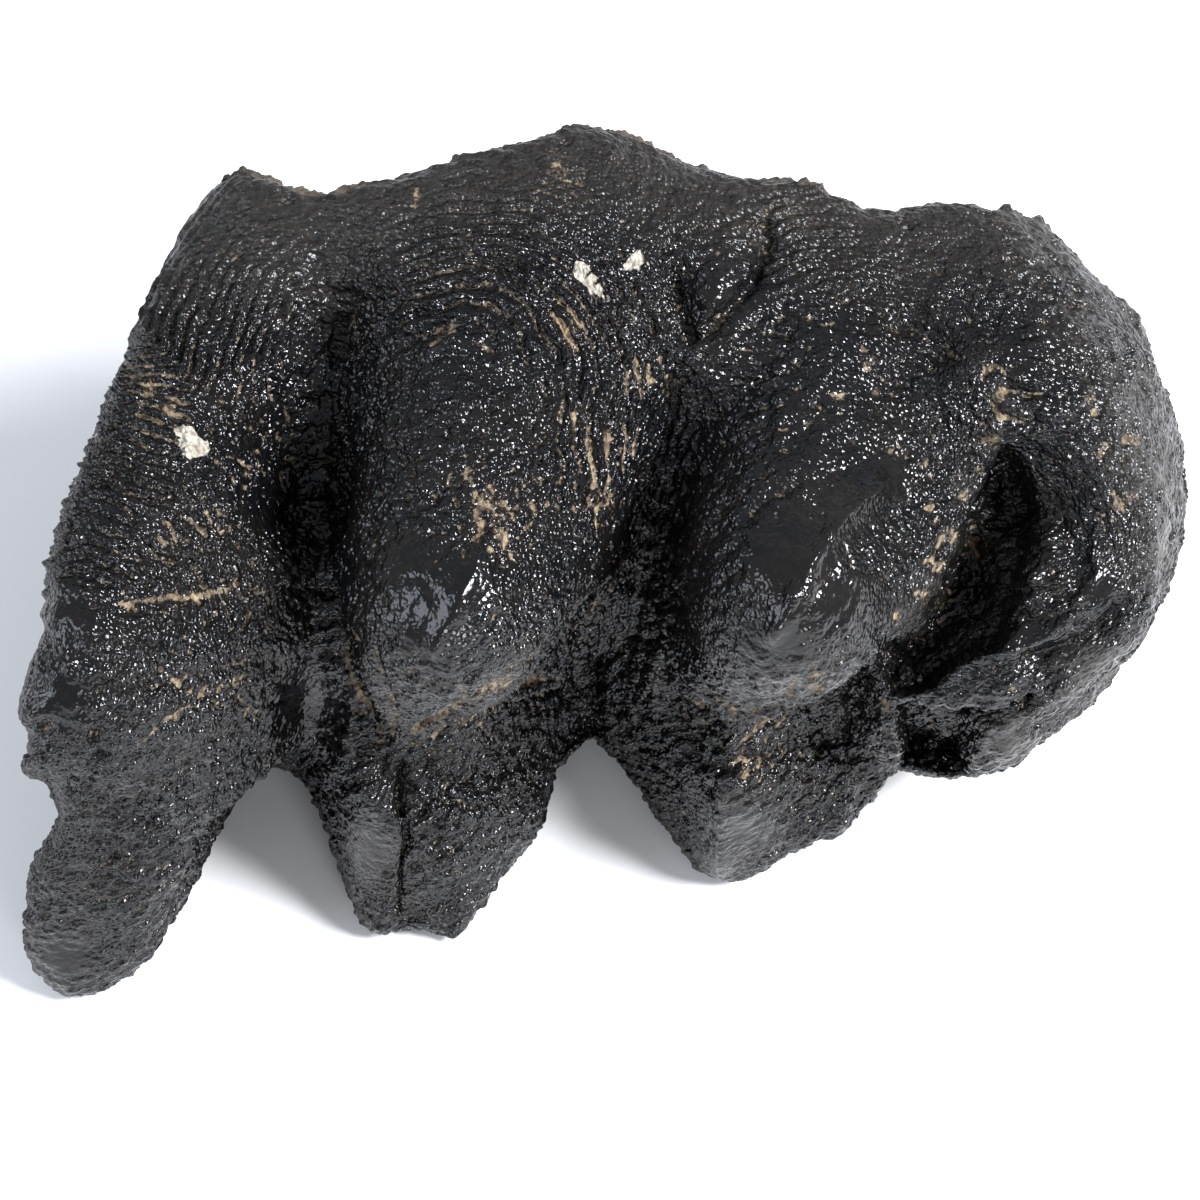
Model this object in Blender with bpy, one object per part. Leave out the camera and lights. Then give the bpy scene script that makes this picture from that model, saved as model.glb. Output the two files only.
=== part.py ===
"""A fossil mastodon molar, lying on one side.

It has three tall cross ridges, each a blunt near cone joined to a sharp far
blade, then a low fourth ridge that closes the back as a pitted heel, and a
broken, hollowed root side.

+X runs from the front of the tooth to its back, -Y is the chewing side, +Y the
root side and +Z is up. Lengths are millimetres until the mesh is made.
"""

import bpy
import numpy as np

METRE = 1000.0


def point(x, y, z):
    return np.array([x, y, z], dtype=float)


# Driving dimensions: the ends of the tooth

LEAN = 0.27              # how far the ridges lean to the front for their height
FRONT_END = -59.8        # the flat front end, along the lean
ROOT_END = 46.0          # the enamel's edge at the root side
RESTING_WEAR = 0.4       # how much is worn off the spots that it lies on

# The line that the surface is built around

CORE_FRONT = -45.0
CORE_BACK = 46.0
CORE_Y = 12.0
CORE_Z = 36.0

# How many points: rings along the tooth, and points around each ring

FRONT_RINGS = 13
SIDE_RINGS = 33
BACK_RINGS = 15
RING_POINTS = 80

# The cross ridges. A cone is start, end, start radius and end radius. A blade's
# crest runs from its tip to its saddle, edge is how far the blunt crest reaches to
# the front and the back, opening how much each side widens for every millimetre
# towards the root, and heights the lowest and highest z that it fills.

RIDGES = (
    {
        "cones": (
            (point(-43.5, 36, 52), point(-58, -16, 52), 12.0, 9.5),
            (point(-47, 20, 51), point(-54, 0, 51), 12.5, 12.5),
            (point(-57, -14, 50), point(-57, -21, 45), 9.0, 6.0),
        ),
        "near": {
            "tip": point(-57, -25, 52), "saddle": point(-56, -24, 40),
            "edge": (7.0, 9.0), "opening": (0.1, 0.8), "heights": (22, 57),
        },
        "far": {
            "tip": point(-64.5, -34.5, 7), "saddle": point(-57, -26, 40),
            "edge": (9.0, 8.0), "opening": (0.3, 0.46), "heights": (-20, 50), "settled": 0.9,
        },
    },
    {
        "cones": (
            (point(-10, 36, 49), point(-17, -13, 61), 21.0, 10.5),
            (point(-17, -13, 59), point(-22.5, -14.5, 44), 9.0, 4.5),
        ),
        "near": {
            "tip": point(-17, -21.5, 60), "saddle": point(-22, -17, 40),
            "edge": (9.0, 8.0), "opening": (0.1, 0.75), "heights": (22, 63),
        },
        "far": {
            "tip": point(-23, -26.5, 7), "saddle": point(-22, -18, 40),
            "edge": (7.5, 7.0), "opening": (0.36, 0.62), "heights": (-20, 50), "settled": 0.7,
        },
    },
    {
        "cones": (
            (point(29, 32, 49), point(21.5, -12, 61), 18.0, 10.5),
            (point(38, 27, 52), point(33, 0, 51), 14.0, 9.0),
            (point(21.5, -12, 59), point(17.5, -12.5, 43), 9.0, 4.5),
            (point(22, 0, 14), point(28, -7, 10), 12.0, 7.5),
        ),
        "near": {
            "tip": point(21, -20, 60), "saddle": point(17.5, -14, 40),
            "edge": (7.5, 8.0), "opening": (0.35, 0.8), "heights": (22, 62),
        },
        "far": {
            "tip": point(16, -21, 7), "saddle": point(17, -15, 40),
            "edge": (1.5, 3.0), "opening": (0.75, 1.1), "heights": (-20, 50), "settled": 0.3,
        },
    },
)

# The floors of the valleys between the ridges, from the far side to the near

VALLEY_FLOORS = (
    (point(-40, 4, 15), point(-35, 13, 44), 12.0, 11.0),
    (point(-35, 13, 44), point(-33.5, 30, 46), 10.0, 10.5),
    (point(0.5, 10.5, 14), point(9.5, 24, 51), 10.0, 13.0),
    (point(38, 6, 15), point(44, 14, 46), 12.0, 11.0),
    (point(44, 20, 51), point(43, 32, 52), 15.0, 16.0),
)

# The grooves that the two front valleys pinch into on the near side

VALLEY_GROOVES = (
    (point(-35, 6, 52.5), point(-33, 27, 68), 6.5, 4.0),
    (point(3.5, -4, 49), point(11.5, 14, 67), 7.0, 2.5),
)

# A small wedge of enamel at the head of the second valley

CONULE = (point(15, 27, 64.5), point(12, 17.5, 66.0), 6.0, 3.0)

# The heel: bulging eggs as centre and radii, the rim that curls around its pit,
# and the knobs in the pit

HEEL_BULGES = (
    (point(49.3, 13.5, 40), point(21.7, 24, 30)),
    (point(48.5, 22, 42), point(16.5, 21, 27)),
    (point(43.5, 8, 33), point(20, 25, 27)),
)
HEEL_RIM = (
    point(54, 10, 60), point(57.5, 2, 56), point(57, -5, 49), point(50, -8, 43), point(42, -7, 40),
)
HEEL_RIM_RADIUS = 6.5
HEEL_PIT = (point(45.5, 0.0, 61.5), point(51, -5.5, 61.5), 7.5, 7.5)
HEEL_KNOBS = (point(52, -2, 54.5), point(49, -6, 51.5))
HEEL_KNOB_RADIUS = 3.6

# The hollows left in the root side, under the ridges: x, z, radius and depth

ROOT_HOLLOWS = ((-34, 33, 13, 8), (-3, 34, 15, 11), (27, 34, 13, 8))

# The cusp that each ridge's enamel grew down from, and the waves that it grew in

CUSPS = (point(-60, -18, 54), point(-19, -16, 64), point(20, -15, 63), point(55, -2, 54))
GROWTH_WAVE = 9.0
GROWTH_RELIEF = 0.35


# Distances: negative inside, for rows of x, y, z


def join(a, b, soft):
    """Both shapes, with the crease between them filled over the width soft."""
    mix = np.clip(0.5 + 0.5 * (b - a) / soft, 0.0, 1.0)
    return b * (1.0 - mix) + a * mix - soft * mix * (1.0 - mix)


def keep(a, b, soft):
    """Only what lies in both shapes, with the edge rounded over the width soft."""
    return -join(-a, -b, soft)


def cut(a, b, soft):
    """What lies in the first shape and not in the second."""
    return keep(a, -b, soft)


def cone(p, start, end, start_radius, end_radius):
    """A cone with round ends."""
    axis = end - start
    along = np.clip((p - start) @ axis / (axis @ axis), 0.0, 1.0)
    away = np.linalg.norm(p - start - along[:, None] * axis, axis=1)
    return away - start_radius - (end_radius - start_radius) * along


def egg(p, centre, radii):
    scaled = (p - centre) / radii
    size = np.linalg.norm(scaled, axis=1)
    slope = np.linalg.norm(scaled / radii, axis=1)
    return size * (size - 1.0) / np.maximum(slope, 1e-6)


def block(p, centre, half, soft):
    """A box with rounded edges."""
    beyond = np.abs(p - centre) - half + soft
    outside = np.linalg.norm(np.maximum(beyond, 0.0), axis=1)
    return outside + np.minimum(beyond.max(axis=1), 0.0) - soft


def blade(p, tip, saddle, edge, opening, heights, settled=0.0):
    """A wedge that opens from its crest towards the root, with a rounded far belly."""
    x, y, z = p.T
    along = (z - tip[2]) / (saddle[2] - tip[2])
    crest_x = tip[0] + (saddle[0] - tip[0]) * along
    crest_y = tip[1] + (saddle[1] - tip[1]) * along
    depth = y - crest_y
    front = (crest_x - edge[0] - x - depth * opening[0]) / np.hypot(1.0, opening[0])
    back = (x - crest_x - edge[1] - depth * opening[1]) / np.hypot(1.0, opening[1])
    wedge = keep(keep(front, back, 5.0), np.abs(depth - 24.0) - 24.0, 4.0)
    wedge = keep(wedge, z - heights[1], 12.0)
    wedge = keep(wedge, heights[0] - z, 6.0)
    belly = 0.022 * (x - crest_x) ** 2 + 0.006 * (depth - 7.0) ** 2 - settled
    return keep(wedge, belly - z, 5.0)


# The parts of the tooth


def ridge(p, cones, near, far):
    near_half = blade(p, **near)
    for each in cones:
        near_half = join(near_half, cone(p, *each), 5.0)
    return join(near_half, blade(p, **far), 3.0)


def heel(p):
    shape = egg(p, *HEEL_BULGES[0])
    for bulge in HEEL_BULGES[1:]:
        shape = join(shape, egg(p, *bulge), 6.0)
    for start, end in zip(HEEL_RIM[:-1], HEEL_RIM[1:]):
        shape = join(shape, cone(p, start, end, HEEL_RIM_RADIUS, HEEL_RIM_RADIUS), 5.0)
    shape = cut(shape, cone(p, *HEEL_PIT), 8.0)
    for knob in HEEL_KNOBS:
        shape = join(shape, egg(p, knob, HEEL_KNOB_RADIUS), 2.0)
    return shape


def ground(p):
    """What fills the crown between and behind the ridges, flatter on the far side."""
    waist = 24.0
    stretched = p.copy()
    below = p[:, 2] < waist
    stretched[below, 2] = waist + (p[below, 2] - waist) * 2.0
    shape = egg(stretched, point(-2, 34, waist), point(68, 36, 47.4))
    for floor in VALLEY_FLOORS:
        shape = join(shape, cone(p, *floor), 6.0)
    return join(shape, block(p, point(1.5, 37, 35), point(52, 14, 31), 12.0), 6.0)


def hump(value, middle, width):
    return np.exp(-(((value - middle) / width) ** 2))


def front_end(p):
    """The front end: two bulging halves, a groove between them and a low shelf."""
    y, z = p[:, 1], p[:, 2]
    groove = 3.5 * hump(z, 37.0, 7.0) / (1.0 + np.exp((y - 12.0) / 6.0))
    shelf = 2.0 * hump(y, 25.0 + 0.08 * z, 5.0)
    leaning_x = p[:, 0] - LEAN * (y - CORE_Y)
    return FRONT_END + groove - shelf - leaning_x


def root_end(p):
    """The root side: a scalloped edge around rough broken hollows."""
    x, y, z = p.T
    level = ROOT_END + 5.0 * hump(x, -2.0, 12.0) + 2.5 * hump(x, -47.0, 7.0)
    level = level - 4.0 * hump(x, -32.0, 6.0) - 5.0 / (1.0 + np.exp(-(x - 22.0) / 5.0))
    for middle_x, middle_z, radius, deep in ROOT_HOLLOWS:
        away = ((x - middle_x) / radius) ** 2 + ((z - middle_z) / (1.1 * radius)) ** 2
        level = level - deep * np.exp(-(away**2))
    coarse = np.sin(x / 4.1 + 0.6 * np.sin(z / 6.0)) * np.sin(z / 4.7 + x / 9.0)
    fine = np.sin(x / 2.3 - z / 2.9)
    return y - level - 1.2 * coarse - 0.5 * fine


def growth(p):
    """Low waves around each cusp on the near side, fading out at the cusps themselves."""
    away = np.min([np.linalg.norm(p - cusp, axis=1) for cusp in CUSPS], axis=0)
    clear_of_cusp = np.clip(away / 20.0 - 0.5, 0.0, 1.0)
    near_side = np.clip(p[:, 2] / 12.0 - 3.2, 0.0, 1.0)
    wave = np.sin(2.0 * np.pi * away / GROWTH_WAVE)
    return GROWTH_RELIEF * wave * clear_of_cusp * near_side


def tooth_shape(p):
    shape = ground(p)
    for each in RIDGES:
        shape = join(shape, ridge(p, **each), 3.5)
    for groove in VALLEY_GROOVES:
        shape = cut(shape, cone(p, *groove), 4.0)
    merging = 3.0 + 4.0 * np.clip((p[:, 1] - 14.0) / 12.0, 0.0, 1.0)
    shape = join(shape, heel(p), merging)
    shape = join(shape, cone(p, *CONULE), 2.0)
    shape = shape + growth(p)
    shape = keep(shape, front_end(p), 4.0)
    shape = keep(shape, root_end(p), 3.0)
    return keep(shape, RESTING_WEAR - p[:, 2], 0.3)


# The surface: a round primitive whose points are drawn onto the shape


def end_path(part, reach, depth):
    """A way across an end from its pole, over its corner and along its side."""
    length = part * (reach + depth)
    if length < reach:
        return length, depth
    return reach, depth - (length - reach)


def ring_rays():
    """Where the ray of every ring point starts, and which way it goes."""
    turn = np.linspace(0.0, 2.0 * np.pi, RING_POINTS, endpoint=False)
    turn = turn + 0.3 * np.sin(turn - np.radians(60.0))
    towards_root, towards_top = np.cos(turn), np.sin(turn)
    rings = []
    for number in range(FRONT_RINGS):
        outward, along = end_path((number + 1) / (FRONT_RINGS + 1), 45.0, 12.0)
        rings.append((CORE_FRONT, outward, -along))
    for number in range(SIDE_RINGS):
        rings.append((CORE_FRONT + (CORE_BACK - CORE_FRONT) * number / (SIDE_RINGS - 1), 1.0, 0.0))
    for number in reversed(range(BACK_RINGS)):
        outward, along = end_path((number + 1) / (BACK_RINGS + 1), 34.0, 24.0)
        rings.append((CORE_BACK, outward, along))

    starts, aims = [], []
    for x, outward, along in rings:
        aim = np.stack(
            [along + LEAN * towards_root * outward, towards_root * outward, towards_top * outward],
            axis=1,
        )
        starts.append(np.tile(point(x, CORE_Y, CORE_Z), (RING_POINTS, 1)))
        aims.append(aim / np.linalg.norm(aim, axis=1)[:, None])
    starts += [[point(CORE_FRONT, CORE_Y, CORE_Z)], [point(CORE_BACK, CORE_Y, CORE_Z)]]
    aims += [[point(-1, 0, 0)], [point(1, 0, 0)]]
    return np.concatenate(starts), np.concatenate(aims)


def draw_onto_shape(starts, aims):
    """The outermost place where each ray leaves the shape."""
    longest, step = 130.0, 1.0
    inside = np.zeros(len(starts))
    for distance in np.arange(0.0, longest, step):
        inside[tooth_shape(starts + aims * distance) < 0.0] = distance
    outside = inside + step
    for _ in range(14):
        middle = (inside + outside) / 2.0
        hit = tooth_shape(starts + aims * middle[:, None]) < 0.0
        inside = np.where(hit, middle, inside)
        outside = np.where(hit, outside, middle)
    return starts + aims * inside[:, None]


def surface_points():
    """The ring points in order, then the front and the back pole, standing on z = 0."""
    points = draw_onto_shape(*ring_rays())
    low, high = points.min(axis=0), points.max(axis=0)
    return points - point((low[0] + high[0]) / 2.0, (low[1] + high[1]) / 2.0, low[2])


def make_tooth():
    rings = FRONT_RINGS + SIDE_RINGS + BACK_RINGS
    bpy.ops.mesh.primitive_uv_sphere_add(segments=RING_POINTS, ring_count=rings + 1, radius=1.0)
    tooth = bpy.context.object
    tooth.name = "tooth"
    mesh = tooth.data
    sphere = np.empty(len(mesh.vertices) * 3)
    mesh.vertices.foreach_get("co", sphere)
    x, y, z = sphere.reshape(-1, 3).T

    # a sphere point's latitude and longitude say which ring point takes its place
    ring = np.rint(np.arccos(np.clip(-z, -1.0, 1.0)) / np.pi * (rings + 1)).astype(int)
    place = np.rint(np.arctan2(y, x) / (2.0 * np.pi) * RING_POINTS).astype(int) % RING_POINTS
    order = (ring - 1) * RING_POINTS + place
    order[ring == 0] = rings * RING_POINTS
    order[ring == rings + 1] = rings * RING_POINTS + 1
    mesh.vertices.foreach_set("co", (surface_points()[order] / METRE).ravel())
    mesh.update()
    return tooth


def fossil_enamel():
    material = bpy.data.materials.new("fossil enamel")
    material.use_nodes = True
    shader = material.node_tree.nodes["Principled BSDF"]
    shader.inputs["Base Color"].default_value = (0.014, 0.013, 0.012, 1.0)
    shader.inputs["Roughness"].default_value = 0.32
    shader.inputs["Metallic"].default_value = 0.0
    return material


def main():
    for old in list(bpy.data.objects):
        bpy.data.objects.remove(old)
    collection = bpy.data.collections.new("mastodon_tooth")
    bpy.context.scene.collection.children.link(collection)
    tooth = make_tooth()
    tooth.data.materials.append(fossil_enamel())
    for holder in list(tooth.users_collection):
        holder.objects.unlink(tooth)
    collection.objects.link(tooth)
    return tooth


main()
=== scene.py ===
"""The looks of a fossil mastodon molar that lies on its side.

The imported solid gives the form. Its copy is refined here into the fine surface:
sculpted grooves and ledges, growth lines, pebbled flanks, a crack, broken dentine on
the root side, and the sediment that is left in the low places. Lengths are metres,
and a number times MM is in millimetres.
"""

import math
from functools import partial

import bmesh
import bpy
import numpy as np
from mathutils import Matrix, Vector


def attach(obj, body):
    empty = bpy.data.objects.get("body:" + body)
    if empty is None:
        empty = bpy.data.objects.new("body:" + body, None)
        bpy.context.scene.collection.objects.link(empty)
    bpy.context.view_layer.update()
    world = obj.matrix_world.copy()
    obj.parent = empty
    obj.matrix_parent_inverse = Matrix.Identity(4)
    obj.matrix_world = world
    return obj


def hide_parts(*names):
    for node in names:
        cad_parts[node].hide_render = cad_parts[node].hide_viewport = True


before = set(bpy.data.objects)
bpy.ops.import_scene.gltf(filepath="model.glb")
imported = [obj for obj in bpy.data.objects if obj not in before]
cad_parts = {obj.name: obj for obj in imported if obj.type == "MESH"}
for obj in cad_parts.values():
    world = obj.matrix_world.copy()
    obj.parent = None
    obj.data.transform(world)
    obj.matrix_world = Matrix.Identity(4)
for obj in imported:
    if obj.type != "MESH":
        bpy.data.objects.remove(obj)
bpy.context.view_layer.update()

MM = 0.001
NODE = "tooth"

# The camera: where it looks and from how far, how steeply, and its lens on a 36 mm sensor

PHOTO_SIZE = 1200
SENSOR_WIDTH = 36.0
LENS = 99.6
CAMERA_ELEVATION = math.radians(60.0)
CAMERA_DISTANCE = 400 * MM
CAMERA_TARGET = Vector((0.1, -8.2, 39.6)) * MM
PIXELS_PER_MM = 8.3

# The light: the room all round, and soft boxes by name, place, size, watts and colour

ROOM_COLOUR = "#eef2fa"
ROOM_STRENGTH = 0.56
SOFT_BOXES = (
    ("high soft box", (0.48, -0.12, 0.54), (0.26, 0.20), 15.0, "#f8f9ff"),
    ("low front soft box", (0.22, -0.60, 0.20), (0.16, 0.12), 1.3, "#fbfbff"),
    ("left soft box", (-0.60, -0.10, 0.35), (0.42, 0.34), 3.0, "#eaf1ff"),
)
FLOOR_SIZE = 4.0
FLOOR_DROP = 0.2 * MM

# The fine mesh: the solid's facets are merged into quads and rounded, then remeshed twice

MERGE_DISTANCE = 0.01 * MM
QUAD_ANGLE = math.radians(60.0)
SMOOTHING_LEVELS = 2
ROUGH_VOXEL = 0.75 * MM
ROUGH_SOFTENING = 10
FINE_VOXEL = 0.40 * MM
FINE_SOFTENING = 1

# The planes that part it, in millimetres: for each valley where it crosses the middle and
# how much it leans, and how far back the root side begins

VALLEY_PLANES = ((-33.6, 0.28), (8.4, 0.40), (44.2, 0.46))
ROOT_PLANE = 29.0

# The crests that the enamel grew down from, each as the two ends of its line

CRESTS = np.array([
    [(-60, -26, 54), (-58, -22, 54)],
    [(-19, -24, 64), (-15.5, 8, 60)],
    [(20, -23, 63), (31, -2, 58)],
    [(55, -10, 54), (57, -4, 54)],
]) * MM

# Strokes that shape the near side: lines of photo pixels, with widths and depths in
# millimetres. A groove is a V, a swell stands out, and a ledge drops away to the right
# of its line and comes back over its reach.

LARGE_STROKES = (
    # the valley between the front and middle ridges, and its pinched head
    ("groove", ((350, 270), (338, 350), (322, 450), (313, 560), (318, 650)), 2.6, 1.0),
    ("groove", ((352, 285), (340, 330), (326, 380)), 1.4, 1.6),
    # the valley between the middle and back ridges
    ("groove", ((687, 335), (674, 400), (662, 480), (645, 545), (628, 620), (612, 690)), 2.0, 2.4),
    # the wedge of enamel at its head
    ("groove", ((678, 262), (682, 300), (689, 345)), 0.9, 3.2),
    ("groove", ((768, 215), (760, 278), (725, 312), (688, 346)), 0.9, 3.4),
    # the front ridge's lip over the first leg
    ("ledge", ((20, 776), (62, 777), (100, 760)), 1.6, 1.6),
    ("groove", ((36, 690), (95, 690), (190, 682), (285, 655)), 1.4, 0.9),
    ("groove", ((22, 722), (60, 728), (110, 745)), 0.9, 0.8),
    # the middle cusp's foot, over the second leg
    ("ledge", ((338, 560), (343, 610), (352, 652), (372, 700), (397, 748)), 3.0, 2.6),
    ("ledge", ((392, 750), (440, 726), (492, 702), (560, 684), (612, 645)), 3.0, 1.8),
    # the back cusp's foot, over the third leg
    ("ledge", ((650, 600), (690, 688), (735, 722)), 3.0, 2.0),
    ("ledge", ((735, 722), (775, 712), (812, 684), (866, 655)), 3.0, 1.7),
    # the crests of the second and third legs
    ("swell", ((398, 752), (402, 850), (400, 925)), 1.3, 0.8),
    ("swell", ((740, 722), (724, 800), (722, 880)), 1.2, 1.9),
    # the worn edges that catch the light on the middle and back cusps
    ("swell", ((482, 545), (463, 590), (447, 622), (426, 660)), 1.5, 1.2),
    ("swell", ((765, 650), (786, 612), (808, 570), (840, 520), (895, 472)), 1.4, 2.0),
    # the back ridge's overhanging edge
    ("swell", ((1004, 400), (985, 455), (958, 505), (940, 552), (920, 600), (890, 628)), 1.4, 0.8),
    # dents on its shoulder
    ("groove", ((890, 312), (925, 335), (965, 350)), 1.4, 0.8),
    ("groove", ((935, 298), (975, 322), (1005, 345)), 1.2, 0.7),
    # the heel: the pit's rim, the slot, and the shelf
    ("swell", ((1088, 525), (1100, 566), (1090, 596), (1066, 622), (1034, 643), (975, 655)), 1.5, 2.0),
    ("groove", ((1128, 594), (1098, 634), (1050, 652), (1012, 664)), 0.9, 2.8),
    ("groove", ((1040, 652), (1045, 675), (1050, 704)), 1.3, 1.8),
    ("swell", ((1012, 668), (1004, 692), (960, 696), (912, 694)), 1.0, 0.7),
    ("swell", ((1064, 682), (1062, 694)), 1.1, 1.2),
)

# Hollows: an outline in photo pixels, a depth, how far in from the outline it gets that
# deep, and whether it goes level into the tooth or away from the camera

HOLLOWS = (
    # behind the back ridge's edge, and its deepest part
    (((1006, 440), (985, 470), (966, 512), (950, 556), (936, 590), (919, 624), (884, 633), (875, 648),
      (880, 672), (893, 698), (930, 688), (968, 660), (1008, 642), (1024, 600), (1036, 550),
      (1040, 505), (1026, 460)), 6.5, 0.9, "away"),
    (((972, 510), (948, 570), (922, 628), (886, 640), (898, 682), (955, 652), (1000, 622), (1010, 580),
      (998, 530)), 5.0, 3.0, "away"),
    # under the shelf
    (((896, 704), (950, 708), (1002, 706), (1036, 692), (1046, 706), (1004, 722), (980, 738),
      (968, 790), (900, 790), (894, 740)), 6.0, 1.6, "level"),
    # under the folds of the middle and back cusps
    (((330, 600), (350, 680), (398, 752), (440, 728), (500, 700), (560, 688), (614, 650), (606, 750),
      (530, 800), (460, 820), (400, 820), (345, 790), (325, 700)), 3.4, 2.2, "level"),
    (((640, 630), (700, 704), (735, 728), (776, 716), (814, 690), (872, 660), (884, 724), (840, 770),
      (760, 790), (690, 780), (650, 720)), 3.0, 2.2, "level"),
)

# Dents and bosses on the near side: a photo pixel, a radius and how far it stands out

BOSSES = (
    (1050, 580, 3.6, 1.4), (1010, 740, 3.0, 1.2), (720, 296, 3.0, 1.4), (905, 318, 2.5, -1.2),
    (932, 354, 2.4, -1.2), (880, 388, 3.0, -1.0), (1015, 325, 2.5, -1.0), (868, 298, 2.2, -0.8),
    (150, 560, 3.0, -0.8), (215, 600, 3.4, -0.9), (110, 470, 2.6, -0.5), (560, 520, 3.0, -0.7),
    (745, 800, 3.0, 0.9), (440, 860, 3.0, 0.8), (325, 335, 3.0, -1.8), (322, 715, 4.0, -2.0),
    (695, 330, 1.0, 0.5), (470, 590, 5.0, 0.8), (800, 600, 5.0, 0.8), (60, 620, 4.0, 0.6),
    (32, 712, 1.4, 1.2), (38, 758, 2.2, 1.6), (900, 440, 4.0, -0.6),
)

# Shifts in the picture, for the outline: a photo pixel, a radius, and how far right and up

SHIFTS = (
    (590, 140, 7.5, 0.0, 2.2), (243, 175, 5.0, 0.0, 1.9), (690, 165, 5.0, 0.0, -1.0),
    (800, 186, 4.0, 0.0, 0.6), (32, 640, 6.0, 1.9, 0.0), (20, 818, 4.2, 3.8, 0.0),
    (30, 765, 2.0, -0.8, -0.6), (70, 995, 5.0, 0.0, -1.4), (25, 950, 4.0, -0.6, 0.0),
    (528, 832, 4.5, 1.9, 0.0), (364, 938, 2.4, 0.0, -1.8), (464, 936, 2.6, 0.0, -1.8),
    (413, 918, 1.8, 0.0, 1.6), (842, 838, 5.0, 1.4, -1.2), (592, 738, 4.0, 0.0, -1.8),
    (1052, 742, 4.0, -0.4, 0.6),
)

# Finer folds, each with how much sediment fills it, and the second leg's crack, with none

FINE_STROKES = (
    ("groove", ((346, 625), (360, 668), (378, 708), (399, 746)), 0.7, 2.4, 1.0),
    ("groove", ((336, 640), (358, 698), (390, 750)), 0.6, 1.0, 0.6),
    ("groove", ((372, 640), (382, 680), (398, 715)), 0.5, 0.7, 0.5),
    ("swell", ((356, 640), (372, 680), (392, 722)), 0.6, 1.3, 0.2),
    ("groove", ((399, 746), (440, 722), (480, 700), (515, 686), (560, 680)), 0.7, 2.0, 1.0),
    ("groove", ((420, 738), (470, 712), (540, 690)), 0.5, 0.4, 0.5),
    ("groove", ((480, 690), (530, 660), (590, 615), (610, 590)), 0.6, 0.4, 0.4),
    ("groove", ((690, 690), (738, 724), (775, 713), (806, 690)), 0.7, 2.0, 0.8),
    ("groove", ((700, 688), (740, 714), (780, 700), (812, 672)), 0.5, 0.4, 0.5),
    ("groove", ((105, 605), (150, 600), (200, 596), (242, 584)), 0.35, 0.3, 0.9),
    ("groove", ((150, 660), (185, 690), (230, 708), (275, 716)), 0.5, 0.3, 0.5),
    ("groove", ((130, 755), (160, 725), (200, 700), (260, 668)), 0.6, 0.4, 0.6),
    ("groove", ((560, 395), (585, 430), (597, 480), (598, 540)), 0.4, 0.3, 0.5),
    ("groove", ((430, 352), (440, 338), (460, 330)), 0.35, 0.15, 0.9),
    ("groove", ((418, 184), (415, 208)), 0.35, 0.2, 0.8),
    ("groove", ((767, 200), (769, 270)), 0.3, 0.4, 0.2),
    ("groove", ((720, 205), (717, 260)), 0.3, 0.3, 0.2),
    ("groove", ((403, 750), (399, 790), (405, 830), (409, 845), (399, 868), (401, 925)), 0.4, 2.4, 0.0),
)

# Spots that differ from what is round them: a photo pixel and a radius in millimetres

SHELL_SCARS = ((192, 446, 2.0), (186, 436, 1.4), (592, 284, 1.5), (582, 272, 1.2), (634, 264, 1.5))
POLISHED_SPOTS = (
    (405, 570, 5.0), (430, 620, 7.0), (468, 588, 4.5), (455, 632, 4.5), (780, 560, 7.0), (790, 630, 7.0),
    (840, 600, 6.0), (815, 560, 4.5), (845, 515, 4.0), (880, 482, 3.5), (722, 305, 3.2), (725, 860, 2.5),
    (62, 620, 3.5), (62, 700, 4.0), (740, 830, 4.0), (60, 960, 5.0), (1100, 590, 3.0), (1040, 645, 3.0),
    (300, 700, 5.0), (370, 850, 4.0),
)
DULL_SPOTS = (
    (1150, 470, 6.0), (1135, 400, 5.0), (1150, 560, 4.0), (1110, 670, 4.0), (1095, 310, 5.5),
    (1040, 250, 4.0), (992, 440, 2.0), (966, 492, 2.0), (946, 540, 2.0), (930, 582, 2.2),
    (905, 614, 2.4), (1000, 395, 1.6), (1010, 745, 3.0), (1070, 700, 2.4),
)
STAINED_SPOTS = (
    (992, 440, 1.4), (966, 492, 1.4), (946, 540, 1.4), (930, 582, 1.4), (905, 614, 1.4), (1130, 500, 2.2),
    (250, 470, 2.2), (210, 520, 2.6), (170, 540, 1.8), (570, 330, 2.0), (620, 450, 2.4), (590, 600, 2.0),
    (165, 405, 3.2), (135, 375, 2.6), (118, 360, 1.8), (92, 590, 1.0), (84, 621, 1.3), (495, 515, 3.4),
    (470, 480, 2.0), (505, 545, 2.4), (420, 693, 1.1), (370, 690, 1.3), (530, 684, 1.6), (815, 685, 2.6),
    (990, 370, 3.0), (1000, 420, 2.6), (965, 540, 2.6), (930, 600, 2.2), (1105, 450, 3.0), (1115, 520, 2.6),
    (1090, 400, 2.0), (888, 700, 1.6), (893, 450, 1.1), (927, 465, 1.0), (930, 502, 1.2), (850, 560, 1.6),
    (760, 610, 1.6), (640, 380, 2.6), (600, 500, 2.2), (430, 345, 1.0), (480, 340, 1.2), (380, 235, 1.2),
    (1010, 690, 1.0), (870, 360, 1.2), (840, 395, 1.4), (815, 470, 1.2), (560, 170, 3.0), (750, 770, 1.6),
)
CRUSTED_SPOTS = (
    (1000, 395, 1.4), (992, 440, 1.3), (978, 470, 1.2), (966, 496, 1.3), (950, 535, 1.3), (938, 565, 1.3),
    (922, 596, 1.5), (896, 616, 1.3), (484, 505, 2.0), (500, 535, 1.6), (170, 410, 1.8), (150, 388, 1.4),
    (815, 688, 1.6), (1135, 440, 1.2), (1118, 505, 1.4), (888, 705, 1.0),
)
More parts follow.
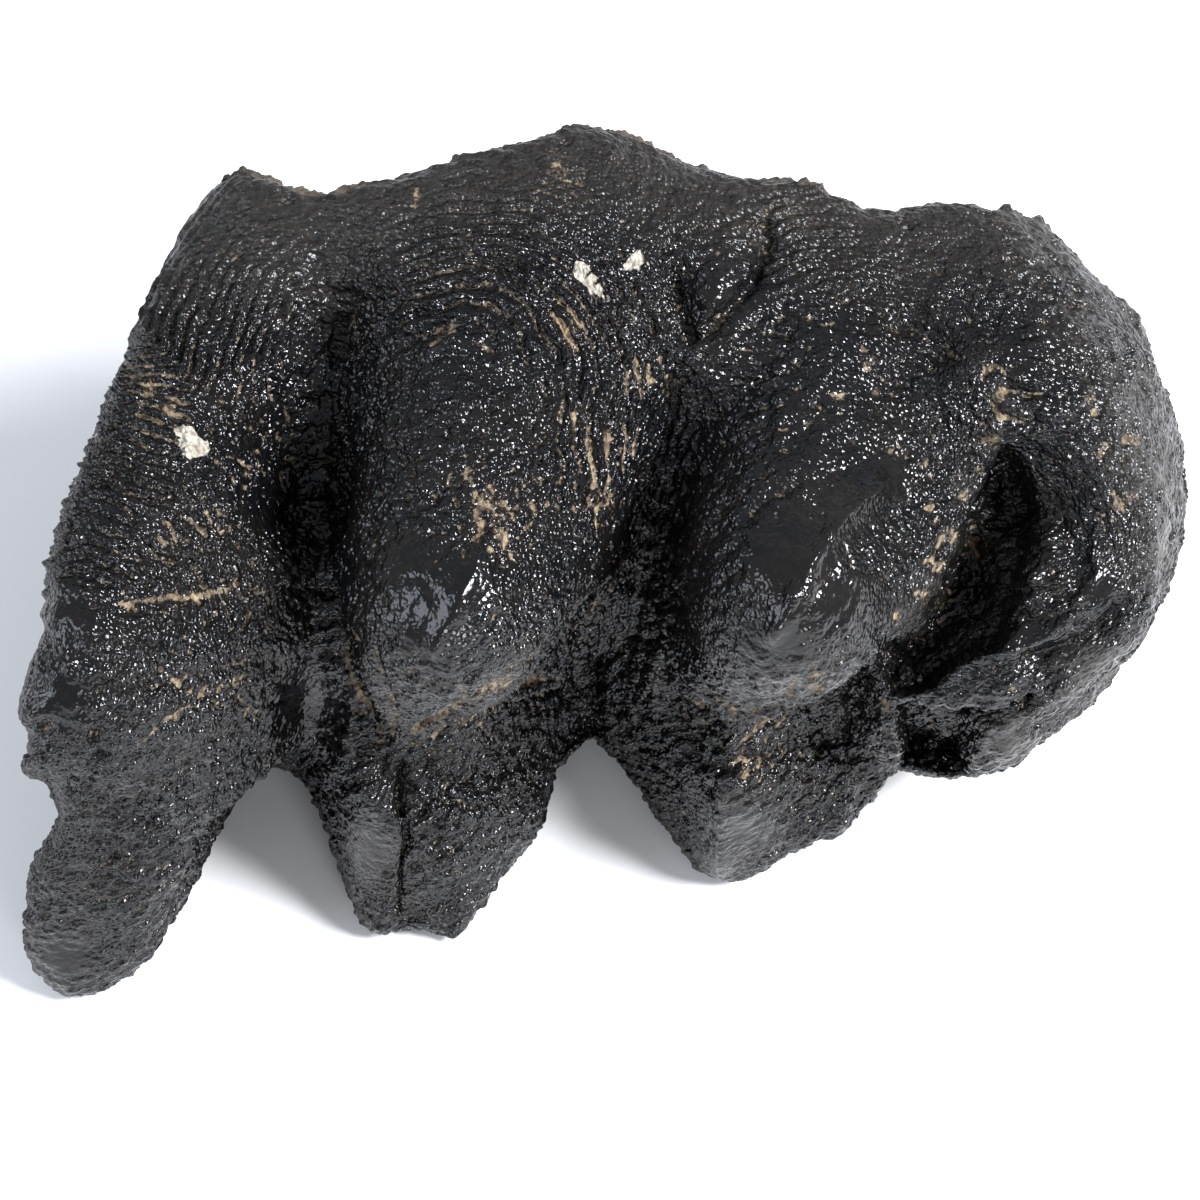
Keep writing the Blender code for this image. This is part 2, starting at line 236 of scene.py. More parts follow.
LINED_SPOTS = (
    (190, 330, 12.0), (260, 340, 8.0), (120, 460, 9.0), (60, 560, 8.0), (490, 260, 12.0), (430, 330, 7.0),
    (570, 330, 9.0), (595, 440, 9.0), (800, 230, 6.0),
)
CALM_SPOTS = (
    (880, 370, 11.0), (920, 300, 9.0), (860, 510, 8.0), (1060, 330, 8.0), (1125, 430, 6.0), (1150, 510, 6.0),
    (690, 820, 4.0), (725, 860, 5.0), (65, 870, 6.0), (110, 940, 6.0), (370, 870, 5.0), (1000, 745, 4.0),
    (230, 240, 9.0), (480, 220, 8.0), (600, 190, 8.0), (800, 240, 8.0), (180, 700, 6.0), (470, 650, 5.0),
    (1095, 640, 5.0), (960, 675, 4.0),
)
NODULE_SPOTS = ((1045, 560, 3.0), (1060, 590, 3.0), (1030, 600, 2.2))

# The fine relief: spacings and heights in millimetres, and grains to the millimetre

RELIEF_SIZES = {
    "Line spacing": 1.5,
    "Line height": 0.68,
    "Pebbles per mm": 0.62,
    "Pebble stretch": 0.9,
    "Pebble height": 1.6,
    "Lump height": 1.5,
    "Pit depth": 0.45,
    "Break height": 4.6,
}
SCAR_HEIGHT = 0.3 * MM

# Over how many steps of the fine mesh a place is compared with its surroundings

HOLLOW_STEPS = {"hollow": 8, "dip": 60}

# Kinds of node: a type, or a type with the settings that make it that kind

MATH = "ShaderNodeMath"
VECTOR_MATH = "ShaderNodeVectorMath"
SET_POSITION = "GeometryNodeSetPosition"
SET_MATERIAL = "GeometryNodeSetMaterial"
NOISE = "ShaderNodeTexNoise"
RANGE = "ShaderNodeMapRange"
PLUS = (MATH, {"operation": "ADD"})
MINUS = (MATH, {"operation": "SUBTRACT"})
TIMES = (MATH, {"operation": "MULTIPLY"})
TIMES_PLUS = (MATH, {"operation": "MULTIPLY_ADD"})
OVER = (MATH, {"operation": "DIVIDE"})
SINE = (MATH, {"operation": "SINE"})
LARGER = (MATH, {"operation": "MAXIMUM"})
ABOVE = (MATH, {"operation": "GREATER_THAN"})
VECTOR_PLUS = (VECTOR_MATH, {"operation": "ADD"})
VECTOR_MINUS = (VECTOR_MATH, {"operation": "SUBTRACT"})
VECTOR_SCALED = (VECTOR_MATH, {"operation": "SCALE"})
VECTOR_LARGER = (VECTOR_MATH, {"operation": "MAXIMUM"})
VECTOR_DOT = (VECTOR_MATH, {"operation": "DOT_PRODUCT"})
CELLS = ("ShaderNodeTexVoronoi", {"feature": "F1"})
SOFT_CELLS = ("ShaderNodeTexVoronoi", {"feature": "SMOOTH_F1"})
BLUR = ("GeometryNodeBlurAttribute", {"data_type": "FLOAT_VECTOR"})
MIX = "ShaderNodeMix"
MIX_COLOURS = (MIX, {"data_type": "RGBA"})


def add(tree, kind, inputs=(), **settings):
    """Adds a node. Its inputs are a list from the first socket on, or a dict by socket. Each
    is a value, a socket, or a node, whose first live output is taken."""
    kind, kind_settings = kind if isinstance(kind, tuple) else (kind, {})
    made = tree.nodes.new(kind)
    for name, value in {**kind_settings, **settings}.items():
        setattr(made, name, value)
    for key, value in inputs.items() if isinstance(inputs, dict) else enumerate(inputs):
        if isinstance(value, bpy.types.Node):
            value = next(out for out in value.outputs if out.enabled)
        if isinstance(value, bpy.types.NodeSocket):
            tree.links.new(value, made.inputs[key])
        else:
            made.inputs[key].default_value = value
    return made


def hex_colour(code):
    """An sRGB hex value as linear red, green, blue and alpha."""
    parts = [int(code[i : i + 2], 16) / 255 for i in (1, 3, 5)]
    return [p / 12.92 if p <= 0.04045 else ((p + 0.055) / 1.055) ** 2.4 for p in parts] + [1.0]


# Camera, light and floor


def camera_axes():
    """Where the camera stands, and its right, up and forward directions."""
    forward = Vector((0.0, math.cos(CAMERA_ELEVATION), -math.sin(CAMERA_ELEVATION)))
    right = Vector((1.0, 0.0, 0.0))
    return CAMERA_TARGET - forward * CAMERA_DISTANCE, right, right.cross(forward), forward


def put_in_scene(name, data):
    made = bpy.data.objects.new(name, data)
    bpy.context.collection.objects.link(made)
    return made


def place_camera():
    place, _, _, forward = camera_axes()
    data = bpy.data.cameras.new("camera")
    data.lens = LENS
    data.sensor_width = SENSOR_WIDTH
    camera = put_in_scene("camera", data)
    camera.location = place
    camera.rotation_euler = forward.to_track_quat("-Z", "Y").to_euler()
    bpy.context.scene.camera = camera


def light_the_scene():
    """Soft light from all round, and soft boxes that hang in their places and face the tooth."""
    scene = bpy.context.scene
    scene.view_settings.view_transform = "Standard"
    scene.view_settings.look = "None"
    world = bpy.data.worlds.new("soft room")
    world.use_nodes = True
    background = world.node_tree.nodes["Background"]
    background.inputs["Color"].default_value = hex_colour(ROOM_COLOUR)
    background.inputs["Strength"].default_value = ROOM_STRENGTH
    scene.world = world
    for name, place, size, watts, colour in SOFT_BOXES:
        data = bpy.data.lights.new(name, "AREA")
        data.shape = "RECTANGLE"
        data.size, data.size_y = size
        data.energy = watts
        data.color = hex_colour(colour)[:3]
        light = put_in_scene(name, data)
        light.location = place
        light.rotation_euler = (CAMERA_TARGET - Vector(place)).to_track_quat("-Z", "Y").to_euler()


def lay_floor():
    material = bpy.data.materials.new("paper, matte white")
    material.use_nodes = True
    shader = material.node_tree.nodes["Principled BSDF"]
    shader.inputs["Base Color"].default_value = hex_colour("#ededec")
    shader.inputs["Roughness"].default_value = 0.9
    bpy.ops.mesh.primitive_plane_add(size=FLOOR_SIZE, location=(0.0, 0.0, -FLOOR_DROP))
    floor = bpy.context.object
    floor.name = "floor"
    floor.data.materials.append(material)


# The mesh and its points


def copy_of_solid():
    """The solid as one closed mesh of quads, to be rounded."""
    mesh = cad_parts[NODE].data.copy()
    work = bmesh.new()
    work.from_mesh(mesh)
    bmesh.ops.remove_doubles(work, verts=work.verts, dist=MERGE_DISTANCE)
    bmesh.ops.join_triangles(
        work, faces=work.faces, angle_face_threshold=QUAD_ANGLE, angle_shape_threshold=QUAD_ANGLE,
    )
    work.to_mesh(mesh)
    work.free()
    piece = put_in_scene("fine tooth", mesh)
    smooth = piece.modifiers.new("smooth", "SUBSURF")
    smooth.levels = smooth.render_levels = SMOOTHING_LEVELS
    return piece


def apply_modifiers(piece):
    evaluated = piece.evaluated_get(bpy.context.evaluated_depsgraph_get())
    mesh = bpy.data.meshes.new_from_object(evaluated)
    piece.modifiers.clear()
    piece.data = mesh


def remesh(piece, voxel, softening):
    """Even quads of one size, smoothed a little, with the piece's modifiers applied."""
    even = piece.modifiers.new("even", "REMESH")
    even.mode = "VOXEL"
    even.voxel_size = voxel
    soften = piece.modifiers.new("soften", "SMOOTH")
    soften.factor = 0.5
    soften.iterations = softening
    apply_modifiers(piece)


def points_and_normals(mesh):
    points = np.empty(len(mesh.vertices) * 3)
    mesh.vertices.foreach_get("co", points)
    normals = np.empty_like(points)
    mesh.vertex_normals.foreach_get("vector", normals)
    return points.reshape(-1, 3), normals.reshape(-1, 3)


def store(mesh, name, values):
    """Keeps one number for each vertex, for the relief and the materials to read."""
    layer = mesh.attributes.new(name, "FLOAT", "POINT")
    layer.data.foreach_set("value", np.asarray(values, dtype=np.float32))


# Sculpting by lines and spots of the photo


def bell(distance, width):
    """One in the middle, and falling away to nothing at about twice the width."""
    return np.exp(-((distance / width) ** 2))


def smooth_step(value, low, high):
    part = np.clip((value - low) / (high - low), 0.0, 1.0)
    return part * part * (3.0 - 2.0 * part)


def to_line(points, start, end):
    """Each point's distance from a straight line between two ends."""
    way = end - start
    along = np.clip((points - start) @ way / (way @ way), 0.0, 1.0)
    return np.linalg.norm(points - start - along[:, None] * way, axis=1)


def seen_from_camera(points, normals):
    """Each point's photo pixel, and how plainly the photo shows it, from 0 to 1."""
    cell = 4
    hidden_behind = 4 * MM
    place, right, up, forward = (np.array(axis) for axis in camera_axes())
    focal = LENS / SENSOR_WIDTH * PHOTO_SIZE
    offset = points - place
    depth = offset @ forward
    column = PHOTO_SIZE / 2 + focal * (offset @ right) / depth
    row = PHOTO_SIZE / 2 - focal * (offset @ up) / depth
    cells = PHOTO_SIZE // cell
    bucket = np.clip(row // cell, 0, cells - 1) * cells + np.clip(column // cell, 0, cells - 1)
    bucket = bucket.astype(int)
    nearest = np.full(cells * cells, np.inf)
    np.minimum.at(nearest, bucket, depth)
    shown = smooth_step(-(normals @ forward), 0.0, 0.25) * (depth < nearest[bucket] + hidden_behind)
    return np.stack([column, row], axis=1), shown


def millimetres_from(pixels, column, row):
    return np.linalg.norm(pixels - (column, row), axis=1) / PIXELS_PER_MM


def beside_line(pixels, line):
    """Distance from a line in millimetres, plus to its right, and a fade towards its ends."""
    lengths = np.linalg.norm(np.diff(line, axis=0), axis=1)
    starts = np.concatenate([[0.0], np.cumsum(lengths)])
    nearest = np.full(len(pixels), np.inf)
    signed, part = np.zeros(len(pixels)), np.zeros(len(pixels))
    for start, end, length, before in zip(line[:-1], line[1:], lengths, starts):
        way = (end - start) / length
        offset = pixels - start
        along = np.clip(offset @ way, 0.0, length)
        away = np.linalg.norm(offset - along[:, None] * way, axis=1)
        closer = away < nearest
        nearest[closer] = away[closer]
        side = way[0] * offset[closer, 1] - way[1] * offset[closer, 0]
        signed[closer] = away[closer] * np.sign(side)
        part[closer] = (before + along[closer]) / starts[-1]
    fade = smooth_step(part, 0.0, 0.15) * smooth_step(part, 1.0, 0.85)
    return signed / PIXELS_PER_MM, 0.15 + 0.85 * fade


def stroke_height(pixels, kind, line, width, depth):
    """How far one stroke moves each point out, in millimetres."""
    reach = (4.5 * width + 1.0) * PIXELS_PER_MM
    line = np.array(line, dtype=float)
    low, high = line.min(axis=0) - reach, line.max(axis=0) + reach
    close = np.flatnonzero(((pixels > low) & (pixels < high)).all(axis=1))
    signed, fade = beside_line(pixels[close], line)
    if kind == "groove":
        shape = -np.exp(-np.abs(signed) / width)
    elif kind == "swell":
        shape = np.exp(-np.abs(signed) / width)
    else:
        drop = smooth_step(signed, 0.0, 0.9) * np.exp(-signed / width)
        shape = np.where(signed > 0.0, -drop, 0.12 * np.exp(signed / 1.2))
    height = np.zeros(len(pixels))
    height[close] = depth * shape * fade
    return height


def inside_outline(pixels, outline):
    """How far in from an outline each point is, in millimetres, and less than zero outside."""
    outline = np.array(outline, dtype=float)
    nearest, inside = np.full(len(pixels), np.inf), np.zeros(len(pixels), dtype=bool)
    for start, end in zip(outline, np.roll(outline, -1, axis=0)):
        nearest = np.minimum(nearest, to_line(pixels, start, end))
        if start[1] != end[1]:
            crossed = (start[1] > pixels[:, 1]) != (end[1] > pixels[:, 1])
            slope = (end[0] - start[0]) / (end[1] - start[1])
            inside ^= crossed & (pixels[:, 0] < start[0] + slope * (pixels[:, 1] - start[1]))
    return np.where(inside, nearest, -nearest) / PIXELS_PER_MM


def sculpt_large_forms(mesh):
    points, normals = points_and_normals(mesh)
    pixels, shown = seen_from_camera(points, normals)
    height = np.zeros(len(points))
    for kind, line, width, depth in LARGE_STROKES:
        height += stroke_height(pixels, kind, line, width, depth)
    for column, row, radius, rise in BOSSES:
        height += rise * bell(millimetres_from(pixels, column, row), radius)
    moved = points + normals * (height * shown * MM)[:, None]
    _, right, up, forward = (np.array(axis) for axis in camera_axes())
    ways = {"away": forward, "level": np.array([0.0, 1.0, 0.0])}
    for outline, depth, reach, way in HOLLOWS:
        carved = depth * smooth_step(inside_outline(pixels, outline), 0.0, reach)
        moved += ways[way] * (carved * (shown > 0.0) * MM)[:, None]
    for column, row, radius, to_right, to_up in SHIFTS:
        near = bell(millimetres_from(pixels, column, row), radius) * MM
        moved += (to_right * right + to_up * up) * near[:, None]
    moved[:, 2] = np.maximum(moved[:, 2], 0.0)
    mesh.vertices.foreach_set("co", moved.ravel())
    mesh.update()


# The marks that the relief and the materials read


def root_side(points, normals):
    """One on the broken root side, behind the enamel's scalloped edge, and in its hollows."""
    x, y, z = (points / MM).T
    edge = 37.8 + 5.0 * bell(x + 2.0, 12.0) + 2.5 * bell(x + 47.0, 7.0) - 4.0 * bell(x + 32.0, 6.0)
    edge = edge - 5.0 / (1.0 + np.exp(-(x - 22.0) / 5.0))
    behind = smooth_step(y - edge, -2.2, -1.4)
    inside = (np.abs(x - 1.5) < 47.0) & (z > 8.0) & (z < 62.0) & (y > 15.0)
    return np.maximum(behind, inside * smooth_step(normals[:, 1], 0.25, 0.4))


def store_marks(mesh):
    points, normals = points_and_normals(mesh)
    pixels, shown = seen_from_camera(points, normals)
    unseen = 1.0 - shown
    x, y, _ = (points / MM).T

    def spots(places):
        """One in the middle of each spot that the photo shows, and nought away from them."""
        field = np.zeros(len(points))
        for column, row, radius in places:
            field = np.maximum(field, bell(millimetres_from(pixels, column, row), radius))
        return field * shown

    growth = np.min([to_line(points, start, end) for start, end in CRESTS], axis=0)
    fold, fill = np.zeros(len(points)), np.zeros(len(points))
    for kind, line, width, depth, filled in FINE_STROKES:
        fold += stroke_height(pixels, kind, line, width, depth) * shown
        beside = stroke_height(pixels, "swell", line, 1.9 * width, 1.0)
        fill = np.maximum(fill, 2.0 * filled * beside * np.sqrt(shown))
    upper_band = smooth_step(y + 0.15 * np.abs(x), 17.0, 36.0)
    worn_tips = 0.8 * bell(growth / MM, 11.0)

    store(mesh, "growth", growth)
    store(mesh, "fold", fold * MM)
    store(mesh, "root", root_side(points, normals))
    store(mesh, "dull", np.maximum(upper_band, 0.75 * spots(DULL_SPOTS)))
    store(mesh, "stain", np.max([fill, spots(STAINED_SPOTS), 1.5 * spots(CRUSTED_SPOTS)], axis=0))
    store(mesh, "scar", spots(SHELL_SCARS))
    store(mesh, "nodules", spots(NODULE_SPOTS))
    store(mesh, "polish", np.maximum(spots(POLISHED_SPOTS), worn_tips * unseen))
    store(mesh, "calm", np.maximum(spots(CALM_SPOTS), 0.6 * unseen))
    store(mesh, "lined", np.clip(spots(LINED_SPOTS) + 0.45 * unseen, 0.0, 1.0))


# The relief that follows the surface


def relief_tree(enamel, dentine):
    """A node tree that raises the fine relief and gives every face its material."""
    tree = bpy.data.node_groups.new("tooth relief", "GeometryNodeTree")
    sockets = tree.interface
    sockets.new_socket("Geometry", in_out="INPUT", socket_type="NodeSocketGeometry")
    for name, size in RELIEF_SIZES.items():
        made = sockets.new_socket(name, in_out="INPUT", socket_type="NodeSocketFloat")
        made.default_value = size
    sockets.new_socket("Geometry", in_out="OUTPUT", socket_type="NodeSocketGeometry")
    node = partial(add, tree)
    sizes = node("NodeGroupInput").outputs
    growth, fold, scar, polish, root, lined, dull, calm, in_pit = (
        node("GeometryNodeInputNamedAttribute", {"Name": name}, data_type="FLOAT")
        for name in ("growth", "fold", "scar", "polish", "root", "lined", "dull", "calm", "nodules")
    )
    place = node(VECTOR_SCALED, {0: node("GeometryNodeInputPosition"), "Scale": 1 / MM})

    # growth lines: ripples around each cusp, bent and broken by noise
    bend = node(NOISE, {"Vector": place, "Scale": 0.13, "Detail": 3.0, "Roughness": 0.45})
    bent = node(TIMES_PLUS, [bend, 3.2, node(OVER, [growth, MM])])
    phase = node(OVER, [node(TIMES, [bent, 2 * math.pi]), sizes["Line spacing"]])
    half_lines = node(SINE, [node(TIMES, [phase, 2.0])])
    ripple = node(TIMES_PLUS, [half_lines, 0.35, node(SINE, [phase])])
    broken = node(NOISE, {"Vector": place, "Scale": 0.4, "Detail": 2.0})
    strength = node(TIMES_PLUS, [lined, 0.85, 0.15])
    strength = node(TIMES, [strength, node(RANGE, [broken, 0.34, 0.54, 0.1, 1.0])])
    lines = node(TIMES, [node(TIMES, [ripple, strength]), sizes["Line height"]])

    # pebbles: round grains packed side by side, larger low down, and small among the lines
    shift = node(NOISE, {"Vector": place, "Scale": 0.8, "Detail": 2.0})
    shifted = node(VECTOR_PLUS, [place, shift.outputs["Color"]])
    across = node("ShaderNodeCombineXYZ", [node(TIMES, [bent, sizes["Pebble stretch"]])])
    stretched = node(VECTOR_PLUS, [shifted, across])
    grain = node(CELLS, {"Vector": stretched, "Scale": sizes["Pebbles per mm"]})
    round_grain = node(MINUS, [0.4, node(TIMES, [grain, grain])])
    patches = node(NOISE, {"Vector": place, "Scale": 0.12, "Detail": 2.0})
    height = node("ShaderNodeSeparateXYZ", [place]).outputs["Z"]
    low_down = node(RANGE, [height, 54.0, 38.0, 1.0, 1.35])
    pebbly = node(TIMES, [node(RANGE, [patches, 0.35, 0.65, 0.45, 1.0]), sizes["Pebble height"]])
    pebbly = node(TIMES, [pebbly, node(RANGE, [calm, 0.0, 1.0, low_down, 0.35])])
    pebbly = node(TIMES, [pebbly, node(RANGE, [lined, 0.0, 1.0, 1.0, 0.25])])
    pebbles = node(TIMES, [round_grain, pebbly])

    # pits: a few round dents
    dents = node(CELLS, {"Vector": shifted, "Scale": 0.21})
    pits = node(TIMES, [node(RANGE, [dents, 0.26, 0.1]), sizes["Pit depth"]])

    # lumps: slow swellings that keep no flank flat
    slow = node(NOISE, {"Vector": place, "Scale": 0.2, "Detail": 4.0, "Roughness": 0.55})
    lumps = node(TIMES, [node(MINUS, [slow, 0.5]), sizes["Lump height"]])
    lumps = node(TIMES, [lumps, node(RANGE, [polish, 0.0, 1.0, 1.0, 0.45])])

    # nodules in the heel's pit, and the spongy break of the root side
    knobs = node(SOFT_CELLS, {"Vector": place, "Scale": 0.62, "Smoothness": 0.2})
    nodules = node(TIMES, [node(MINUS, [0.6, knobs]), in_pit])
    sponge = node(NOISE, {"Vector": place, "Scale": 0.33, "Detail": 6.0, "Roughness": 0.65})
    break_height = node(TIMES, [root, sizes["Break height"]])
    broken_root = node(TIMES, [node(MINUS, [sponge, 0.5]), break_height])

    # all of it, less where the surface is worn smooth or dull
    unworn = node(TIMES_PLUS, [polish, -0.85, 1.0])
    fine = node(TIMES, [node(PLUS, [lines, pebbles]), node(TIMES_PLUS, [dull, -0.5, 1.0])])
    fine = node(TIMES, [node(MINUS, [fine, pits]), unworn])
    coarse = node(PLUS, [node(TIMES_PLUS, [nodules, 1.6, lumps]), broken_root])
    raised = node(TIMES_PLUS, [node(PLUS, [fine, coarse]), MM, fold])
    raised = node(TIMES_PLUS, [scar, SCAR_HEIGHT, raised])
    normal = node("GeometryNodeInputNormal")
    push = node(VECTOR_SCALED, {0: normal, "Scale": raised})
    shaped = node(SET_POSITION, {"Geometry": sizes["Geometry"], "Offset": push})

    # nothing goes below the surface that it lies on
    kept = node(VECTOR_LARGER, [node("GeometryNodeInputPosition"), (-1.0, -1.0, 0.0)])
    shaped = node(SET_POSITION, {"Geometry": shaped, "Position": kept})

    # how deep each place lies under its surroundings, close by and further off
    for name, steps in HOLLOW_STEPS.items():
        where = node("GeometryNodeInputPosition")
        around = node(BLUR, {"Value": where, "Iterations": steps})
        depth = node(VECTOR_DOT, [node(VECTOR_MINUS, [around, where]), node("GeometryNodeInputNormal")])
        shaped = node(
            "GeometryNodeStoreNamedAttribute",
            {"Geometry": shaped, "Name": name, "Value": node(OVER, [depth, MM])},
            data_type="FLOAT", domain="POINT",
        )
    smooth = node("GeometryNodeSetShadeSmooth", [shaped])
    whole = node("GeometryNodeRealizeInstances", [smooth])
    dressed = node(SET_MATERIAL, {"Geometry": whole, "Material": enamel})
    at_root = node(ABOVE, [root, 0.5])
    dressed = node(SET_MATERIAL, {"Geometry": dressed, "Selection": at_root, "Material": dentine})
    node("NodeGroupOutput", [dressed])
    return tree


def raise_relief(piece, enamel, dentine):
    tree = relief_tree(enamel, dentine)
    relief = piece.modifiers.new("relief", "NODES")
    relief.node_group = tree
    for item in tree.interface.items_tree:
        if item.in_out == "INPUT" and item.name in RELIEF_SIZES:
            relief[item.identifier] = RELIEF_SIZES[item.name]
    apply_modifiers(piece)


# Materials


def new_material(name):
    """A material, its nodes and shader, and a place on the tooth in millimetres."""
    material = bpy.data.materials.new(name)
    material.use_nodes = True
    tree = material.node_tree
    coordinates = add(tree, "ShaderNodeTexCoord").outputs["Object"]
    place = add(tree, VECTOR_SCALED, {0: coordinates, "Scale": 1 / MM})
    return material, tree, tree.nodes["Principled BSDF"], place


def finish_material(tree, shader, colour, roughness, bump):
    for name, made in (("Base Color", colour), ("Roughness", roughness), ("Normal", bump)):
        tree.links.new(next(out for out in made.outputs if out.enabled), shader.inputs[name])


def fossil_enamel():
    """Tooth enamel turned black by minerals and worn by water, so it has sharp small
    glints, with tan silt dried in its low places and a dull upper band."""
    material, tree, shader, place = new_material("fossil enamel, mineralised black and water-worn")
    node = partial(add, tree)
    growth, hollow, dip, polish, dull, stain, scar = (
        node("ShaderNodeAttribute", attribute_name=name).outputs["Fac"]
        for name in ("growth", "hollow", "dip", "polish", "dull", "stain", "scar")
    )

    # black, with browner clouds and specks, and greyer where it is dull
    cloud = node(NOISE, {"Vector": place, "Scale": 0.11, "Detail": 2.0})
    speck = node(NOISE, {"Vector": place, "Scale": 0.9, "Detail": 4.0, "Roughness": 0.7})
    clouded = node(RANGE, [cloud, 0.4, 0.62])
    black = node(MIX_COLOURS, {0: clouded, 6: hex_colour("#08090b"), 7: hex_colour("#0f0e0d")})
    specked = node(RANGE, [speck, 0.5, 0.75, 0.0, 0.5])
    black = node(MIX_COLOURS, {0: specked, 6: black, 7: hex_colour("#231e19")})
    grained = node(RANGE, [speck, 0.35, 0.7])
    grey = node(MIX_COLOURS, {0: grained, 6: hex_colour("#1c1b1a"), 7: hex_colour("#36322c")})
    body = node(MIX_COLOURS, {0: node(TIMES, [dull, 0.6]), 6: black, 7: grey})

    # tan silt where it is stained and in small hollows, ragged along the growth lines,
    # and less of it in the deep places
    grained = node(RANGE, [speck, 0.4, 0.65])
    silt = node(MIX_COLOURS, {0: grained, 6: hex_colour("#4b4032"), 7: hex_colour("#9d8b6e")})
    across = node("ShaderNodeCombineXYZ", [node(TIMES, [growth, 0.4 / MM])])
    along_growth = node(VECTOR_PLUS, [place, across])
    reach = node(NOISE, {"Vector": along_growth, "Scale": 1.5, "Detail": 5.0, "Roughness": 0.8})
    reach = node(TIMES_PLUS, [stain, 0.23, reach])
    reach = node(PLUS, [reach, node(RANGE, [hollow, 0.02, 0.2, -0.12, 0.12])])
    patch = node(NOISE, {"Vector": place, "Scale": 0.08, "Detail": 1.0})
    reach = node(PLUS, [reach, node(RANGE, [patch, 0.35, 0.65, -0.05, 0.03])])
    reach = node(PLUS, [reach, node(RANGE, [dip, 0.6, 2.2, 0.0, -0.18])])
    silted = node(RANGE, [reach, 0.63, 0.76, 0.0, 0.85])
    colour = node(MIX_COLOURS, {0: silted, 6: body, 7: silt})

    # chalky shell scars with torn edges
    torn = node(NOISE, {"Vector": place, "Scale": 0.6, "Detail": 2.0})
    shell = node(PLUS, [scar, node(RANGE, [torn, 0.3, 0.7, -0.45, 0.45])])
    shell = node(RANGE, [shell, 0.5, 0.62])
    grained = node(RANGE, [speck, 0.35, 0.6])
    chalk = node(MIX_COLOURS, {0: grained, 6: hex_colour("#6f685b"), 7: hex_colour("#b4ad9f")})
    colour = node(MIX_COLOURS, {0: shell, 6: colour, 7: chalk})

    rough = node(RANGE, [speck, 0.3, 0.7, 0.07, 0.2])
    rough = node(MIX, {0: polish, 2: rough, 3: 0.14})
    rough = node(MIX, {0: dull, 2: rough, 3: 0.38})
    rough = node(MIX, {0: node(LARGER, [silted, shell]), 2: rough, 3: 0.8})
    shader.inputs["IOR"].default_value = 1.38

    # grains finer than the mesh, about 0.7 mm long along the growth lines, and 0.2 mm dust
    grains = node(CELLS, {"Vector": along_growth, "Scale": 1.5})
    dust = node(NOISE, {"Vector": place, "Scale": 4.0, "Detail": 0.0})
    height = node(TIMES_PLUS, [dust, 0.2, node(MINUS, [1.0, grains], use_clamp=True)])
    strength = node(RANGE, [polish, 0.0, 1.0, 1.0, 0.15])
    bump = node("ShaderNodeBump", {"Height": height, "Distance": 0.36 * MM, "Strength": strength})
    finish_material(tree, shader, colour, rough, bump)
    return material


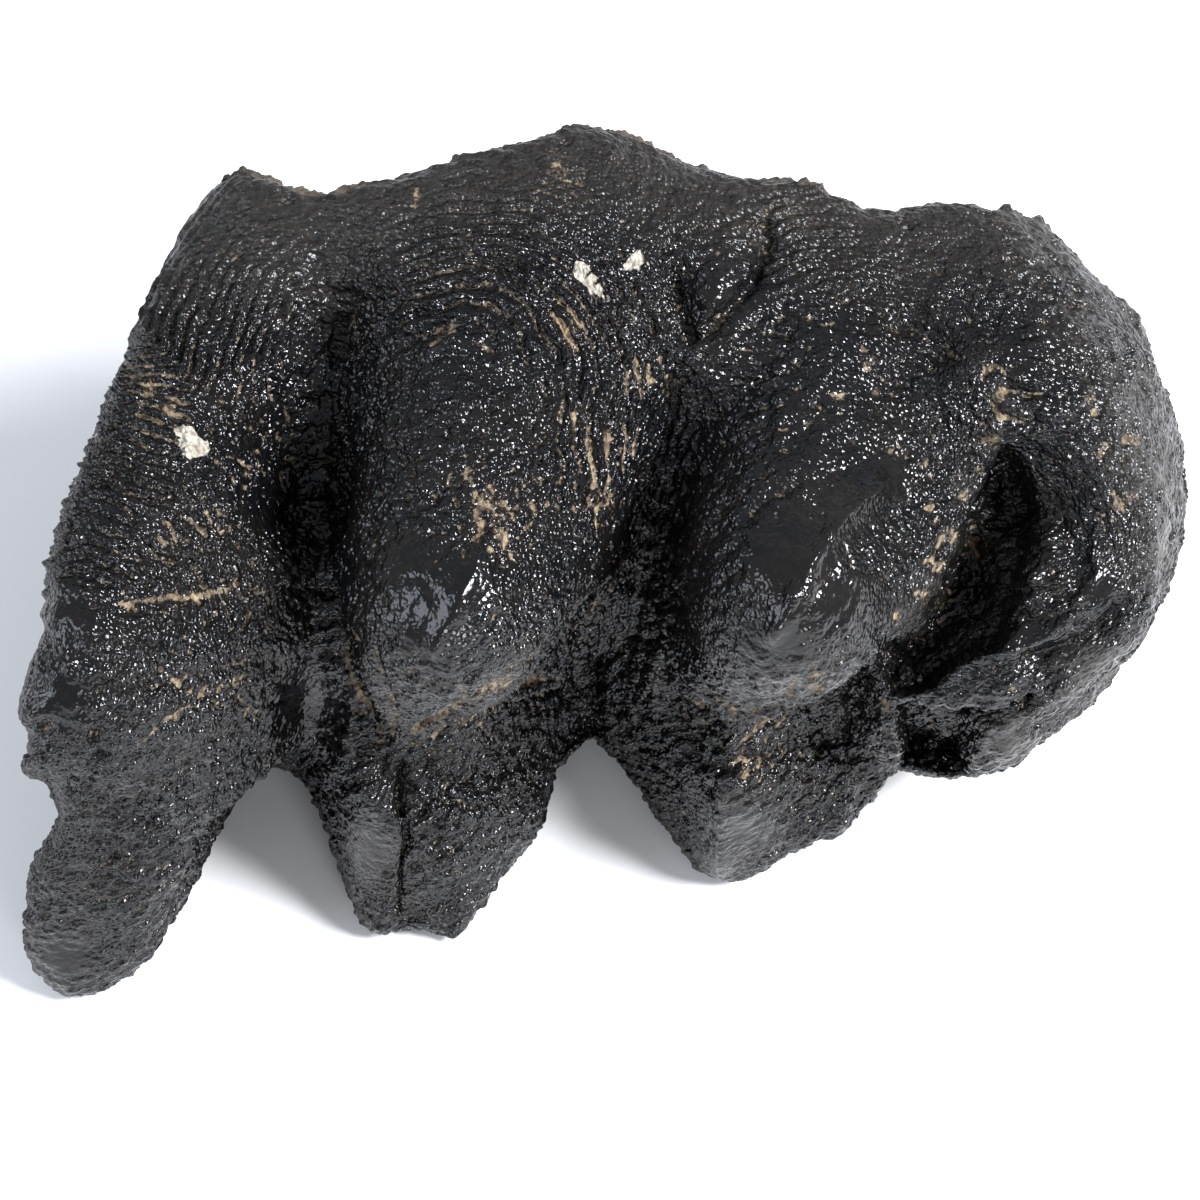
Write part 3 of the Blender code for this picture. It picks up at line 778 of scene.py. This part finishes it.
def fossil_dentine():
    """Dentine, broken off and weathered, so it is matte grey-brown and spongy, with painted shade that
    darkens its deep places.
    """
    material, tree, shader, place = new_material("fossil dentine, broken and weathered")
    node = partial(add, tree)
    hollow, dip = (
        node("ShaderNodeAttribute", attribute_name=name).outputs["Fac"] for name in ("hollow", "dip")
    )
    cloud = node(NOISE, {"Vector": place, "Scale": 0.15, "Detail": 6.0, "Roughness": 0.6})
    speck = node(NOISE, {"Vector": place, "Scale": 1.1, "Detail": 5.0, "Roughness": 0.7})
    clouded = node(RANGE, [cloud, 0.38, 0.62])
    colour = node(MIX_COLOURS, {0: clouded, 6: hex_colour("#26221e"), 7: hex_colour("#4d453a")})
    silted = node(RANGE, [hollow, 0.05, 0.3, 0.0, 0.7])
    colour = node(MIX_COLOURS, {0: silted, 6: colour, 7: hex_colour("#6f5e47")})
    # painted shade: the deep places of the broken root side are coloured darker, near black-brown
    deep = node(RANGE, [dip, 0.3, 1.6, 0.0, 0.75])
    colour = node(MIX_COLOURS, {0: deep, 6: colour, 7: hex_colour("#1c1814")})
    specked = node(RANGE, [speck, 0.5, 0.7, 0.0, 0.6])
    colour = node(MIX_COLOURS, {0: specked, 6: colour, 7: hex_colour("#7c6a52")})
    rough = node(RANGE, [speck, 0.3, 0.7, 0.55, 0.85])
    bump = node("ShaderNodeBump", {"Height": speck, "Distance": 0.3 * MM, "Strength": 0.9})
    finish_material(tree, shader, colour, rough, bump)
    return material


# The pieces: the fine surface is parted in the valleys, so that no mesh is too heavy


def part_mesh(mesh, cuts):
    """A closed piece of the mesh, on the chosen side of every cut: place, direction and side."""
    work = bmesh.new()
    work.from_mesh(mesh)
    for place, direction, side in cuts:
        bmesh.ops.bisect_plane(
            work, geom=work.verts[:] + work.edges[:] + work.faces[:], plane_co=place,
            plane_no=direction, clear_inner=side > 0, clear_outer=side < 0,
        )
        rim = [edge for edge in work.edges if edge.is_boundary]
        for edge in rim:
            edge.smooth = False
        bmesh.ops.triangle_fill(work, edges=rim, use_beauty=True, use_dissolve=False)
    bmesh.ops.recalc_face_normals(work, faces=work.faces)
    bmesh.ops.triangulate(work, faces=[face for face in work.faces if len(face.verts) > 4])
    made = mesh.copy()
    work.to_mesh(made)
    work.free()
    return made


def part_tooth(piece):
    """The closed pieces of the fine surface."""
    root = (Vector((0.0, ROOT_PLANE, 0.0)) * MM, Vector((0.0, 1.0, 0.0)))
    first, second, third = (
        (Vector((x, 0.0, 0.0)) * MM, Vector((1.0, -lean, 0.0)).normalized()) for x, lean in VALLEY_PLANES
    )
    cuts = {
        "front_ridge": [(*root, -1), (*first, -1)],
        "middle_ridge": [(*root, -1), (*first, 1), (*second, -1)],
        "back_ridge": [(*root, -1), (*second, 1), (*third, -1)],
        "heel": [(*root, -1), (*third, 1)],
        "root_side": [(*root, 1)],
    }
    made = [put_in_scene(name, part_mesh(piece.data, each)) for name, each in cuts.items()]
    bpy.data.objects.remove(piece)
    return made


def main():
    place_camera()
    light_the_scene()
    lay_floor()
    piece = copy_of_solid()
    remesh(piece, ROUGH_VOXEL, ROUGH_SOFTENING)
    sculpt_large_forms(piece.data)
    remesh(piece, FINE_VOXEL, FINE_SOFTENING)
    store_marks(piece.data)
    raise_relief(piece, fossil_enamel(), fossil_dentine())
    for part in part_tooth(piece):
        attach(part, "root")
        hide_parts(NODE)


main()
